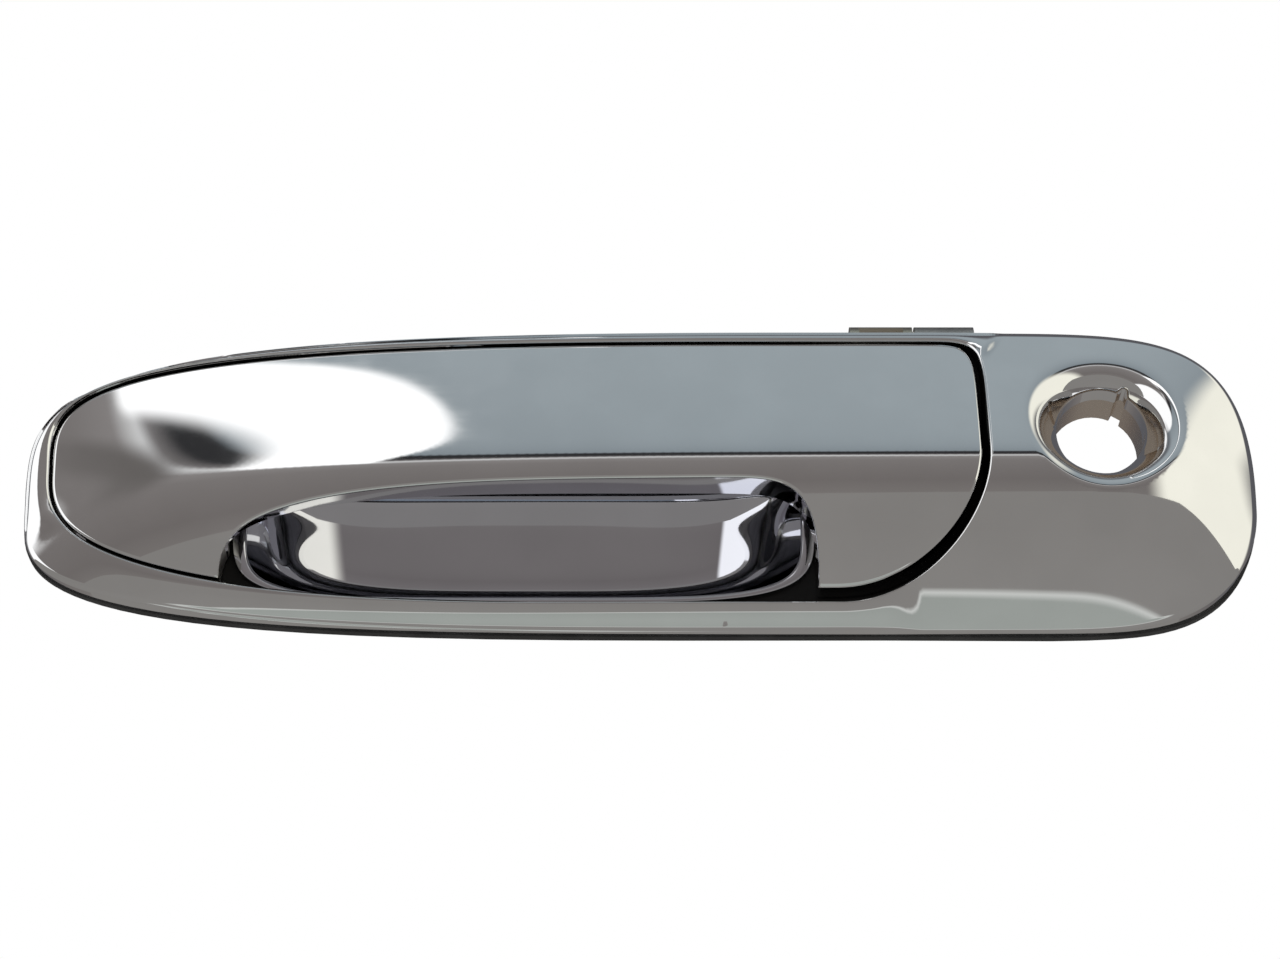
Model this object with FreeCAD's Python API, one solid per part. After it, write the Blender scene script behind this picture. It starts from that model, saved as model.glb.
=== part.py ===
"""Pull-type car door handle: a chromed grip hinged at its nose in a die-cast bezel.

Frame: +X runs along the handle to the lock end, +Z is up, -Y faces out of the door.
The origin is midway between the two mounting studs, in the plane of the gasket's rear face.
Places along the handle are counted from the nose or from the tail, and rises from the foot.
"""
import FreeCAD, Part
import math
import os
from FreeCAD import Vector

# Overall sizes, in millimetres
LENGTH = 256.0          # bezel, nose to tail
HEIGHT = 65.6           # bezel, foot to crown
STUD_FROM_NOSE = 34.0
STUD_FROM_TAIL = 44.0
STUD_RISE = 18.0        # stud line above the foot

# Sculpted front skin: two faces that meet in a soft ridge
RIDGE_RISE = 32.4       # ridge above the foot, along most of the handle
RIDGE_DROP = 5.5        # how much lower the ridge starts near the nose
RIDGE_RUN = 28.0        # length over which it climbs
PEAK_HEIGHT = 24.0      # greatest height of the ridge in front of the door skin
NOSE_HEIGHT = 5.0       # height of the skin at the nose
SWELL_RUN = 55.0        # length over which the ridge swells to its peak
CROWN_HEIGHT = 5.5      # height of the skin along the top edge
FOOT_HEIGHT = 4.0       # height of the skin along the bottom edge
CREASE = 3.0            # softness of the ridge
TAIL_FALL = 40.0        # length over which the skin falls away to the tail

# Gasket, bezel and grip
GASKET = 2.5            # gasket thickness
GASKET_PROUD = 0.8      # gasket beyond the bezel all round
GASKET_WIDTH = 6.0      # gasket inside the bezel's edge
FLOOR = 2.5             # bezel floor plate
BEZEL_WALL = 2.6
BAND = 4.6              # bezel band round the nose
SILL = 4.9              # bezel lip along the bottom
FLANGE = 2.4            # bezel flange along the top
LOBE = 56.0             # lock lobe, from its inner edge to the tail
GRIP_GAP = 0.7          # grip to bezel, all round
SWING_GAP = 1.1         # more room between the grip's free end and the lobe
HEEL_GAP = 1.5          # more room below the grip's heel, between the notch and the lobe
GRIP_LIFT = 0.6         # grip above the bezel floor
SKIN = 2.2              # grip shell thickness
FIT = 0.2               # backer inside the shell, and cup flange inside the bay

# Finger recess and cup
RECESS_FROM_NOSE = 41.0
RECESS_FROM_LOBE = 35.2
RECESS_TOP = 27.6       # grip's lower edge above the foot
CUP_END_FLANGE = 3.0
CUP_FOOT_FLANGE = 1.6
CUP_TOP_FLANGE = 5.6    # wide enough for the pins
CUP_WALL = 1.2
CUP_DEPTH = 19.0
CUP_LEAN = 0.2          # share by which the bowl is deeper below its middle and shallower above
CUP_LIP = 0.6           # the bowl's curve starts this far outside its mouth, which leaves a short wall
CUP_TOP = 45.0
CUP_CLEARANCE = 0.7
FINGER_ROOM = 12.0      # back of the blade in front of the door skin

# Lock seat
LOCK_FROM_TAIL = 31.5
LOCK_RISE = 42.5
LOCK_BORE = 9.4         # radius
LOCK_WALL = 2.6
LOCK_LIP = 8.0          # bore mouth in front of the door skin
LOCK_LENGTH = 16.0
DISH_RADIUS = 17.2      # at the sides
DISH_TALL = 1.6         # how much further the dish reaches above and below
DISH_SHIFT = 0.8        # added above and taken off below
KEYWAY_WIDTH = 2.4
KEYWAY_DEPTH = 1.2

# Grip hinge
HINGE_FROM_NOSE = 12.5
HINGE_BACK = -2.0       # pin axis, along Y
HINGE_LOW = 25.0        # knuckle, lower and upper faces above the foot
HINGE_HIGH = 36.5
HINGE_PIN = 1.25        # radius
KNUCKLE = 3.0           # radius
LUG = 3.0               # lug height along the pin
BUSH_WALL = 0.8
BUSH_FLANGE = 0.5
RUNNING = 0.04          # radial clearance of a turning pin
SEAT = 0.02             # radial clearance of a seated pin
SIDE_PLAY = 0.15

# Bellcrank
CRANK_FROM_TAIL = 83.0  # outer face of the left cheek
CRANK_WIDTH = 13.4      # over both cheeks
CRANK_BACK = 8.0
CRANK_RISE = 66.5
CRANK_PIN = 2.0         # radius
CHEEK = 2.0
CHEEK_PLAY = 0.3        # cheek to bezel and gasket, on each side
CHEEK_RISE = 3.4        # top of the cheeks' slots in the floor, below the crown
HUB = 5.8               # radius
PULL_ARM_LENGTH = 25.0  # crank axis to cross bar
CROSS_BAR = 2.5         # radius
ROD_ARM_LENGTH = 22.0
ROD_ARM_ANGLE = 10.0    # above the horizontal at rest
EAR_WIDTH = 12.7
EAR_THICK = 5.5
CLIP_THICK = 0.7
WASHER = 0.4

# Pull arm, between the crank's cheeks
HOOK_WIDTH = 6.0
HOOK_THICK = 2.5
HOOK_PLAY = 0.8         # hook to cross bar
HOOK_RISE = 53.0

# Rod clip
ROD_BORE = 2.05         # radius, for a 4 mm latch rod
CLIP_PIN = 1.9
CLIP_BLOCK = 7.0
CLIP_HEIGHT = 10.0

# Fasteners
STUD = 3.0              # radius, M6
STUD_OUT = 18.0         # stud behind the gasket
STUD_ROOT = 3.4         # radius of the root pressed into the boss
STUD_BOSS = 5.5
SCREW = 1.25            # radius
SCREW_HEAD = 2.4
HEAD_THICK = 1.4
CUP_PIN = 1.0

# Return spring
SPRING_WIRE = 0.45
SPRING_COIL = 3.2       # mean radius
SPRING_TURNS = 5.75     # ends in front of the pin, heading down to the cross bar

NOSE = -(LENGTH - STUD_FROM_NOSE - STUD_FROM_TAIL) / 2 - STUD_FROM_NOSE
TAIL = NOSE + LENGTH
FOOT = -STUD_RISE
CROWN = FOOT + HEIGHT
FAR = 90.0              # beyond every surface
FLOOR_BACK = -GASKET
FLOOR_FRONT = FLOOR_BACK - FLOOR
GRIP_BACK = FLOOR_FRONT - GRIP_LIFT
BAY_TAIL = TAIL - LOBE
LOCK_X = TAIL - LOCK_FROM_TAIL
LOCK_Z = FOOT + LOCK_RISE
HINGE_X = NOSE + HINGE_FROM_NOSE
LUG_LOW = FOOT + HINGE_LOW - BUSH_FLANGE - SIDE_PLAY - LUG
LUG_HIGH = FOOT + HINGE_HIGH + BUSH_FLANGE + SIDE_PLAY + LUG
CRANK_X = TAIL - CRANK_FROM_TAIL
CRANK_END = CRANK_X + CRANK_WIDTH
CRANK_Z = FOOT + CRANK_RISE

parts = {}


# Plain shapes
def box(x, y, z):
    """A box from three (low, high) pairs."""
    return Part.makeBox(x[1] - x[0], y[1] - y[0], z[1] - z[0], Vector(x[0], y[0], z[0]))


def rod(radius, start, axis, length):
    return Part.makeCylinder(radius, length, Vector(*start), Vector(*axis))


def along_y(radius, x, z, y_from, y_to):
    return rod(radius, (x, y_from, z), (0, 1, 0), y_to - y_from)


def along_z(radius, x, y, z_from, z_to):
    return rod(radius, (x, y, z_from), (0, 0, 1), z_to - z_from)


def along_x(radius, y, z, x_from, x_to):
    return rod(radius, (x_from, y, z), (1, 0, 0), x_to - x_from)


def fuse(*solids):
    return solids[0].fuse(list(solids[1:])).removeSplitter()


# Outlines: four super-elliptic quarters, each with its reach and two powers
def outline(nose, tail, foot, crown, waist, quarters):
    """Points of a closed outline in the XZ plane, anticlockwise from the tail."""
    points = []
    steps = 12
    for index, (reach, power_x, power_z) in enumerate(quarters):
        toward = 1 if index in (0, 3) else -1
        upward = 1 if index in (0, 1) else -1
        centre = tail - reach if toward > 0 else nose + reach
        rise = crown - waist if upward > 0 else waist - foot
        for step in range(steps):
            turn = math.pi / 2 * step / steps
            if index in (1, 3):
                turn = math.pi / 2 - turn
            across = reach * abs(math.cos(turn)) ** (2 / power_x)
            up = rise * abs(math.sin(turn)) ** (2 / power_z)
            points.append((centre + toward * across, waist + upward * up))
    return points


def prism(points, y_from, y_to):
    curve = Part.BSplineCurve()
    curve.interpolate(Points=[Vector(x, y_from, z) for x, z in points], PeriodicFlag=True)
    face = Part.Face(Part.Wire(curve.toShape()))
    return face.extrude(Vector(0, y_to - y_from, 0))


def bezel_outline(inset):
    quarters = [(68.7, 5.0, 2.6), (163.5, 2.55, 4.2), (185.0, 4.3, 3.1), (56.5, 5.0, 1.85)]
    return outline(NOSE + inset, TAIL - inset, FOOT + inset, CROWN - inset, FOOT + 25.0,
                   [(reach - inset, p, q) for reach, p, q in quarters])


def bay_outline(inset, tail_inset=0.0, foot_inset=0.0):
    """The bezel's opening for the grip; the grip's own outline is the same, inset."""
    quarters = [(20.0, 8.0, 8.0), (150.0, 2.5, 3.9), (125.0, 3.2, 2.6), (30.5, 2.0, 2.0)]
    return outline(NOSE + BAND + inset, BAY_TAIL - inset - tail_inset, FOOT + SILL + inset + foot_inset,
                   CROWN - FLANGE - inset, FOOT + 34.0, [(reach - inset, p, q) for reach, p, q in quarters])


def recess_outline(outset):
    """The notch in the grip's lower edge that the fingers enter by."""
    waist = FOOT + SILL
    nose = NOSE + RECESS_FROM_NOSE - outset
    tail = BAY_TAIL - RECESS_FROM_LOBE + outset
    rise = RECESS_TOP - SILL + outset
    left, right = 84.0, 30.0
    return outline(nose, tail, waist - rise, waist + rise, waist,
                   [(right, 6.0, 3.0), (left, 3.0, 4.0), (left, 3.0, 4.0), (right, 6.0, 3.0)])


CUP_NOSE = NOSE + RECESS_FROM_NOSE + 2.2
CUP_TAIL = BAY_TAIL - RECESS_FROM_LOBE - 0.5
CUP_FOOT = FOOT + SILL + 0.4
CUP_CROWN = FOOT + CUP_TOP
CUP_X = (CUP_NOSE + CUP_TAIL) / 2
CUP_POWER = 4.6


def cup_outline(end_inset, foot_inset, top_inset):
    """The cup's outline, inset by its own amount at the ends, below and above."""
    nose, tail = CUP_NOSE + end_inset, CUP_TAIL - end_inset
    foot, top = CUP_FOOT + foot_inset, CUP_CROWN - top_inset
    quarter = ((tail - nose) / 2, CUP_POWER, CUP_POWER)
    return outline(nose, tail, foot, top, (foot + top) / 2, [quarter] * 4)


def cup_mouth(growth):
    """The cup's opening, grown all round."""
    return cup_outline(CUP_END_FLANGE - growth, CUP_FOOT_FLANGE - growth, CUP_TOP_FLANGE - growth)


# The sculpted skin
def ridge_z(x):
    return FOOT + RIDGE_RISE - RIDGE_DROP * math.exp(-(x - NOSE - 15.0) / RIDGE_RUN)


def ridge_height(x):
    swell = NOSE_HEIGHT + (PEAK_HEIGHT - NOSE_HEIGHT) * (1 - math.exp(-(x - NOSE) / SWELL_RUN))
    past = max(0.0, (x - TAIL + TAIL_FALL) / (TAIL_FALL + 3.0))
    return FOOT_HEIGHT + (swell - FOOT_HEIGHT) * (1 - past ** 3)


def skin_height(x, z):
    """Height of the front skin in front of the door skin."""
    top = ridge_height(x)
    rise = z - ridge_z(x)
    above = (rise + math.hypot(rise, CREASE)) / 2
    below = (math.hypot(rise, CREASE) - rise) / 2
    up = above / (CROWN - ridge_z(x))
    down = below / (ridge_z(x) - FOOT)
    fall_up = (top - CROWN_HEIGHT) * (0.85 * up + 0.15 * up ** 2)
    fall_down = (top - FOOT_HEIGHT) * (0.1 * down + 0.9 * down ** 2.2)
    height = top - fall_up - fall_down
    reach = math.hypot(x - LOCK_X, z - LOCK_Z)
    tilt = (z - LOCK_Z) / max(reach, 0.001)
    rim = DISH_RADIUS + tilt ** 2 * (DISH_TALL + DISH_SHIFT * tilt)
    run = max(-0.3, (reach - LOCK_BORE) / (rim - LOCK_BORE))
    if run >= 1:
        return height
    return LOCK_LIP + (height - LOCK_LIP) * (1 - (1 - run) ** 2)


def spread(start, end, pitch):
    count = max(2, math.ceil((end - start) / pitch))
    return [start + (end - start) * step / count for step in range(count)]


def skin_surface():
    """The skin as one smooth face, with closer rows where it bends most."""
    margin = 4.0
    columns = spread(NOSE - margin, NOSE + 20, 3.0) + spread(NOSE + 20, LOCK_X - DISH_RADIUS - 4, 9.0)
    columns += spread(LOCK_X - DISH_RADIUS - 4, TAIL + margin, 1.8) + [TAIL + margin]
    rows = 30
    surface_points = []
    for x in columns:
        middle = ridge_z(x)
        column = []
        for row in range(-rows, rows + 1):
            share = abs(row) / rows
            reach = (CROWN + margin - middle) if row > 0 else (middle - FOOT + margin)
            z = middle + math.copysign(reach * (0.45 * share + 0.55 * share ** 2), row)
            column.append(Vector(x, -skin_height(x, z), z))
        surface_points.append(column)
    surface = Part.BSplineSurface()
    surface.interpolate(surface_points)
    return surface.toShape()


SKIN_FACE = skin_surface()


def behind_skin(depth):
    """Everything from the skin, moved back by a depth, to far behind the handle."""
    face = SKIN_FACE.copy()
    face.translate(Vector(0, depth, 0))
    return face.extrude(Vector(0, FAR, 0))


def cup_bowl(growth):
    """The hollow of the cup as a solid; growth moves its sides outwards and its bottom back."""
    half_x = (CUP_TAIL - CUP_NOSE) / 2 - CUP_END_FLANGE + growth + CUP_LIP
    low, high = CUP_FOOT + CUP_FOOT_FLANGE, CUP_CROWN - CUP_TOP_FLANGE
    half_z = (high - low) / 2 + growth + CUP_LIP
    mouth = FLOOR_FRONT - CUP_WALL
    beyond = 1.05
    count_x, count_z = 30, 18
    grid = []
    for i in range(-count_x, count_x + 1):
        across = beyond * math.sin(math.pi / 2 * i / count_x)
        line = []
        for k in range(-count_z, count_z + 1):
            up = beyond * math.sin(math.pi / 2 * k / count_z)
            reach = (abs(across) ** CUP_POWER + abs(up) ** CUP_POWER) ** 1.25
            y = mouth + (CUP_DEPTH + growth) * (1 - reach) * (1 - CUP_LEAN * up)
            line.append(Vector(CUP_X + half_x * across, y, (low + high) / 2 + half_z * up))
        grid.append(line)
    surface = Part.BSplineSurface()
    surface.interpolate(grid)
    room = prism(cup_mouth(growth), mouth, mouth + (1 + CUP_LEAN) * (CUP_DEPTH + growth) + 1.0)
    face = surface.toShape()
    face.translate(Vector(0, -FAR, 0))
    return face.extrude(Vector(0, FAR, 0)).common(room)


def cup_window():
    """The hole that the bowl passes through, in the bezel's floor and the gasket."""
    return prism(cup_mouth(CUP_WALL + 0.4), FLOOR_FRONT - 1, 1)


# Gasket between the bezel and the door skin
def make_gasket():
    ring = prism(bezel_outline(-GASKET_PROUD), FLOOR_BACK, 0.0)
    ring = ring.cut(prism(bezel_outline(GASKET_WIDTH), FLOOR_BACK - 1, 1.0))
    return ring.cut(cup_window()).cut(ear_block(0.4)).cut(cheek_slots())


# Bezel
def ear_block(clearance):
    """The root of the crank's ear, and the ledge that the spring's leg rests on."""
    z = (CROWN - 7.4 - clearance, CROWN - 7.4 + EAR_THICK + clearance)
    ear = box((CRANK_END + 0.5 - clearance, CRANK_END + 0.5 + EAR_WIDTH + clearance),
              (FLOOR_BACK, CRANK_BACK), z)
    ledge = box((CRANK_X + CHEEK + 0.3 - clearance, CRANK_END - CHEEK - 0.3 + clearance),
                (FLOOR_BACK, CRANK_BACK - HUB - 0.5), z)
    return ear.fuse(ledge)


def cheek_slots():
    """Room for the crank's two cheeks, which rise through the top of the window as they swing out."""
    slots = []
    for x in (CRANK_X, CRANK_END - CHEEK):
        slots.append(box((x - CHEEK_PLAY, x + CHEEK + CHEEK_PLAY), (-FAR, FAR), (CRANK_Z - 10.0, CROWN - 2.0)))
    return slots[0].fuse(slots[1])


def crank_window():
    return box((CRANK_X - 2, CRANK_END + 2.1), (-FAR, FAR), (FOOT + 33.0, CROWN - 5.0))


def hinge_window():
    return box((HINGE_X - 4.0, HINGE_X + 14.0), (FLOOR_FRONT - 1, 1), (LUG_LOW + LUG, LUG_HIGH - LUG))


BUMPERS = [(BAY_TAIL - 7.5, FOOT + 30.0), (BAY_TAIL - 7.5, FOOT + 50.0)]
CUP_PINS = [(CUP_X + reach, CUP_CROWN - 1.9) for reach in (-32.0, -11.0, 11.0, 32.0)]
STUDS = [(NOSE + STUD_FROM_NOSE, 0.0), (TAIL - STUD_FROM_TAIL, 0.0)]


def make_bezel():
    body = prism(bezel_outline(0.0), FLOOR_BACK, -FAR).common(behind_skin(0.0))
    body = body.cut(prism(bay_outline(0.0), FLOOR_FRONT, -FAR))
    # Room for the grip's nose, which dips as the grip swings out
    nose_room = prism(bay_outline(0.3), FLOOR_FRONT - 1, FLOOR_FRONT + 0.9)
    body = body.cut(nose_room.common(box((NOSE, HINGE_X), (-FAR, FAR), (FOOT, CROWN))))
    # Hollow lock lobe, open at the back
    hollow = prism(bezel_outline(BEZEL_WALL), 1.0, -FAR).common(behind_skin(BEZEL_WALL))
    hollow = hollow.common(box((BAY_TAIL + BEZEL_WALL, TAIL), (-FAR, FAR), (FOOT, CROWN)))
    body = body.cut(hollow.cut(along_y(STUD_BOSS, *STUDS[1], -FAR, FAR)))
    # Windows in the floor for the cup, the crank and the hinge
    body = body.cut(cup_window())
    floor_slots = cheek_slots().common(box((NOSE, TAIL), (FLOOR_FRONT - 0.5, 1), (FOOT, CROWN - CHEEK_RISE)))
    body = body.cut(crank_window()).cut(floor_slots).cut(hinge_window())
    for low, high in ((LUG_LOW - 2.3, LUG_LOW), (LUG_HIGH, LUG_HIGH + 1.3)):
        body = body.cut(box((HINGE_X - 3.2, HINGE_X + 3.2), (FLOOR_FRONT - 1, 1), (low, high)))
    # Lugs, ear and bosses
    added = [along_z(KNUCKLE, HINGE_X, HINGE_BACK, LUG_LOW, LUG_LOW + LUG),
             along_z(KNUCKLE, HINGE_X, HINGE_BACK, LUG_HIGH - LUG, LUG_HIGH),
             along_y(STUD_BOSS, *STUDS[0], FLOOR_FRONT, 0.0),
             along_y(STUD_BOSS, *STUDS[1], FLOOR_FRONT, 0.0),
             ear_block(0.0),
             along_x(HUB, CRANK_BACK, CRANK_Z, CRANK_END + 0.5, CRANK_END + 0.5 + EAR_WIDTH)]
    sleeve = along_y(LOCK_BORE + LOCK_WALL, LOCK_X, LOCK_Z, -FAR, LOCK_LENGTH - LOCK_LIP)
    added.append(sleeve.common(behind_skin(0.0)))
    body = fuse(body, *added)
    # Bores
    body = body.cut(along_y(LOCK_BORE, LOCK_X, LOCK_Z, -FAR, FAR))
    keyway = box((LOCK_BORE - 1, LOCK_BORE + KEYWAY_DEPTH), (-FAR, FAR), (-KEYWAY_WIDTH / 2, KEYWAY_WIDTH / 2))
    keyway.rotate(Vector(0, 0, 0), Vector(0, -1, 0), 60)
    keyway.translate(Vector(LOCK_X, 0, LOCK_Z))
    body = body.cut(keyway)
    body = body.cut(along_z(HINGE_PIN + SEAT, HINGE_X, HINGE_BACK, FOOT, CROWN))
    body = body.cut(along_x(CRANK_PIN + SEAT, CRANK_BACK, CRANK_Z, CRANK_END, TAIL))
    for x, z in STUDS:
        body = body.cut(along_y(STUD_ROOT + SEAT, x, z, FLOOR_FRONT - 0.01, 1))
    for x, z in BUMPERS:
        body = body.cut(along_y(1.5 + SEAT, x, z, FLOOR_FRONT - 1, 1))
    for x, z in CUP_PINS:
        body = body.cut(along_y(CUP_PIN + SEAT, x, z, FLOOR_FRONT - 1, 1))
    return body


# Finger cup and the push nuts on its pins
def make_finger_cup():
    mouth = FLOOR_FRONT - CUP_WALL
    flange = prism(cup_outline(0.0, 0.0, 0.0), mouth, FLOOR_FRONT)
    flange = flange.common(prism(bay_outline(FIT), mouth - 1, FLOOR_FRONT + 1))
    cup = fuse(flange, cup_bowl(CUP_WALL)).cut(cup_bowl(0.0))
    pins = [along_y(CUP_PIN, x, z, FLOOR_FRONT - 0.1, FLOOR_BACK + 2.2) for x, z in CUP_PINS]
    return fuse(cup, *pins)


def make_cup_push_nuts():
    nuts = []
    for x, z in CUP_PINS:
        nut = along_y(2.4, x, z, FLOOR_BACK, FLOOR_BACK + 0.6)
        nuts.append(nut.cut(along_y(CUP_PIN + SEAT, x, z, FLOOR_BACK - 1, 1)))
    return Part.Compound(nuts)


# Mounting studs
def make_stud(x, z):
    root = along_y(STUD_ROOT, x, z, FLOOR_FRONT, 0.0)
    shank = along_y(STUD, x, z, 0.0, STUD_OUT)
    tip = Part.makeCone(STUD, STUD - 0.8, 0.8, Vector(x, STUD_OUT, z), Vector(0, 1, 0))
    return fuse(root, shank, tip)


# Grip hinge
GROOVE = 0.35


def make_hinge_pin():
    pin = along_z(HINGE_PIN, HINGE_X, HINGE_BACK, LUG_LOW - 2.0, LUG_HIGH)
    head = along_z(2.1, HINGE_X, HINGE_BACK, LUG_HIGH, LUG_HIGH + 1.0)
    groove = along_z(HINGE_PIN + 1, HINGE_X, HINGE_BACK, LUG_LOW - CLIP_THICK - 0.1, LUG_LOW - 0.1)
    groove = groove.cut(along_z(HINGE_PIN - GROOVE, HINGE_X, HINGE_BACK, LUG_LOW - 2, LUG_LOW))
    return fuse(pin, head).cut(groove)


def retaining_clip(radius, thick):
    """An E-clip lying in the XY plane at the origin, open toward +Y."""
    ring = Part.makeCylinder(radius + 1.3, thick)
    ring = ring.cut(Part.makeCylinder(radius - GROOVE + SEAT, thick))
    half_mouth = radius * 0.72
    return ring.cut(box((-half_mouth, half_mouth), (0, radius + 2), (0, thick)))


def make_hinge_pin_clip():
    clip = retaining_clip(HINGE_PIN, CLIP_THICK - 0.04)
    clip.translate(Vector(HINGE_X, HINGE_BACK, LUG_LOW - CLIP_THICK - 0.08))
    return clip


def make_hinge_bush(face, inward):
    """A flanged bush pressed into one end of the knuckle."""
    outer = HINGE_PIN + RUNNING + BUSH_WALL
    axis = (0, 0, inward)
    sleeve = rod(outer, (HINGE_X, HINGE_BACK, face), axis, 5.0)
    flange = rod(KNUCKLE, (HINGE_X, HINGE_BACK, face - inward * BUSH_FLANGE), axis, BUSH_FLANGE)
    return fuse(sleeve, flange).cut(along_z(HINGE_PIN + RUNNING, HINGE_X, HINGE_BACK, FOOT, CROWN))


# Grip
SCREWS = [(NOSE + 31.0, FOOT + 32.0), (BAY_TAIL - 30.0, FOOT + 45.5), (BAY_TAIL - 17.0, FOOT + 20.0)]
SCREW_BOSS = 3.2
HEAD_SEAT = GRIP_BACK - HEAD_THICK - 0.2
BOSS_END = HEAD_SEAT - 1.8
SCREW_DEPTH = 2.2       # thread in the shell's boss


def grip_block(inset, outset, front):
    """The grip's outline with its finger notch, filled from a shifted skin to its back."""
    block = prism(bay_outline(GRIP_GAP + inset, SWING_GAP), GRIP_BACK, -FAR)
    heel = box((BAY_TAIL - RECESS_FROM_LOBE - 5.0, TAIL), (-FAR, FAR), (FOOT, FOOT + 34.0))
    block = block.cut(heel.cut(prism(bay_outline(GRIP_GAP + inset, SWING_GAP, HEEL_GAP), 1.0, -FAR)))
    return block.cut(prism(recess_outline(outset), 1.0, -FAR)).common(behind_skin(front))


def finger_room():
    return prism(cup_outline(-CUP_CLEARANCE, -CUP_CLEARANCE, -CUP_CLEARANCE), -FINGER_ROOM, 1.0)


def make_grip_shell():
    shell = grip_block(0.0, 0.0, 0.0).cut(grip_block(SKIN, SKIN, SKIN)).cut(finger_room())
    for x, z in SCREWS:
        boss = along_y(SCREW_BOSS, x, z, -FAR, BOSS_END).common(behind_skin(SKIN / 2))
        shell = fuse(shell, boss).cut(along_y(SCREW, x, z, BOSS_END - SCREW_DEPTH - 0.2, 1.0))
    return shell


def make_grip_backer():
    core = grip_block(SKIN + FIT, SKIN + FIT, SKIN + FIT).cut(finger_room())
    for x, z in SCREWS:
        core = core.cut(along_y(SCREW_BOSS + FIT, x, z, -FAR, BOSS_END))
        core = core.cut(along_y(SCREW_HEAD + FIT, x, z, HEAD_SEAT, 1.0))
        core = core.cut(along_y(SCREW + FIT, x, z, -FAR, 1.0))
    low, high = FOOT + HINGE_LOW, FOOT + HINGE_HIGH
    web = box((HINGE_X, HINGE_X + 12.0), (GRIP_BACK - 1.5, HINGE_BACK - 1.0), (low, high))
    web = web.common(behind_skin(SKIN + FIT))
    knuckle = along_z(KNUCKLE, HINGE_X, HINGE_BACK, low, high)
    core = fuse(core, web, knuckle)
    outer = HINGE_PIN + RUNNING + BUSH_WALL
    core = core.cut(along_z(HINGE_PIN + 0.3, HINGE_X, HINGE_BACK, low - 1, high + 1))
    for start in (low, high - 5.0):
        core = core.cut(along_z(outer + SEAT, HINGE_X, HINGE_BACK, start, start + 5.0))
    for x, z in ARM_SCREWS:
        core = core.cut(along_y(SCREW + SEAT, x, z, GRIP_BACK - 6.0, 1.0))
    return core


def make_grip_screws():
    screws = []
    for x, z in SCREWS:
        shank = along_y(SCREW - SEAT, x, z, BOSS_END - SCREW_DEPTH, HEAD_SEAT)
        screws.append(fuse(shank, along_y(SCREW_HEAD, x, z, HEAD_SEAT, HEAD_SEAT + HEAD_THICK)))
    return Part.Compound(screws)


def make_grip_bumpers():
    bumpers = []
    for x, z in BUMPERS:
        bumpers.append(fuse(along_y(3.0, x, z, GRIP_BACK, FLOOR_FRONT),
                            along_y(1.5, x, z, FLOOR_FRONT, FLOOR_BACK),
                            along_y(2.4, x, z, FLOOR_BACK, FLOOR_BACK + 1.0)))
    return Part.Compound(bumpers)


# Pull arm: a bent strap on the grip whose hook draws the crank's cross bar outwards
HOOK_X = CRANK_X + CRANK_WIDTH / 2 - HOOK_WIDTH / 2 + 0.3
BAR_Z = CRANK_Z - PULL_ARM_LENGTH
HOOK_FACE = CRANK_BACK + CROSS_BAR + HOOK_PLAY
HOOK_TOP = BAR_Z - CROSS_BAR - 2.0
ARM_SCREWS = [(HOOK_X + HOOK_WIDTH / 2 - 3.6, HOOK_TOP + 4.5), (HOOK_X + HOOK_WIDTH / 2 + 3.6, HOOK_TOP + 4.5)]


def make_pull_arm():
    width = (HOOK_X, HOOK_X + HOOK_WIDTH)
    low = HOOK_TOP - HOOK_THICK
    base = box((HOOK_X - 3.6, HOOK_X + HOOK_WIDTH + 3.6), (GRIP_BACK, GRIP_BACK + 1.6), (low, HOOK_TOP + 7.5))
    leg = box(width, (GRIP_BACK, HOOK_FACE + HOOK_THICK), (low, HOOK_TOP))
    hook = box(width, (HOOK_FACE, HOOK_FACE + HOOK_THICK), (low, FOOT + HOOK_RISE))
    arm = fuse(base, leg, hook)
    bends = [edge for edge in arm.Edges if abs(edge.BoundBox.YMax - HOOK_FACE - HOOK_THICK) < 0.01
             and abs(edge.BoundBox.ZMax - low) < 0.01 and edge.BoundBox.XLength > 1]
    arm = arm.makeFillet(HOOK_THICK * 0.9, bends)
    for x, z in ARM_SCREWS:
        arm = arm.cut(along_y(SCREW + SEAT, x, z, GRIP_BACK - 1, 1.0))
    return arm


def make_pull_arm_screws():
    screws = []
    for x, z in ARM_SCREWS:
        seat = GRIP_BACK + 1.6
        screws.append(fuse(along_y(SCREW, x, z, GRIP_BACK - 5.5, seat),
                           along_y(2.1, x, z, seat, seat + 1.1)))
    return Part.Compound(screws)


# Bellcrank
def rotated_arm(x, length, angle, half, thick):
    """A flat arm from the crank's axis, rounded at both ends; angle is above +Y."""
    arm = fuse(box((x, x + thick), (0, length), (-half, half)),
               along_x(half, length, 0, x, x + thick))
    arm.rotate(Vector(0, 0, 0), Vector(1, 0, 0), angle)
    arm.translate(Vector(0, CRANK_BACK, CRANK_Z))
    return arm


ROD_Y = CRANK_BACK + ROD_ARM_LENGTH * math.cos(math.radians(ROD_ARM_ANGLE))
ROD_Z = CRANK_Z + ROD_ARM_LENGTH * math.sin(math.radians(ROD_ARM_ANGLE))


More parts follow.
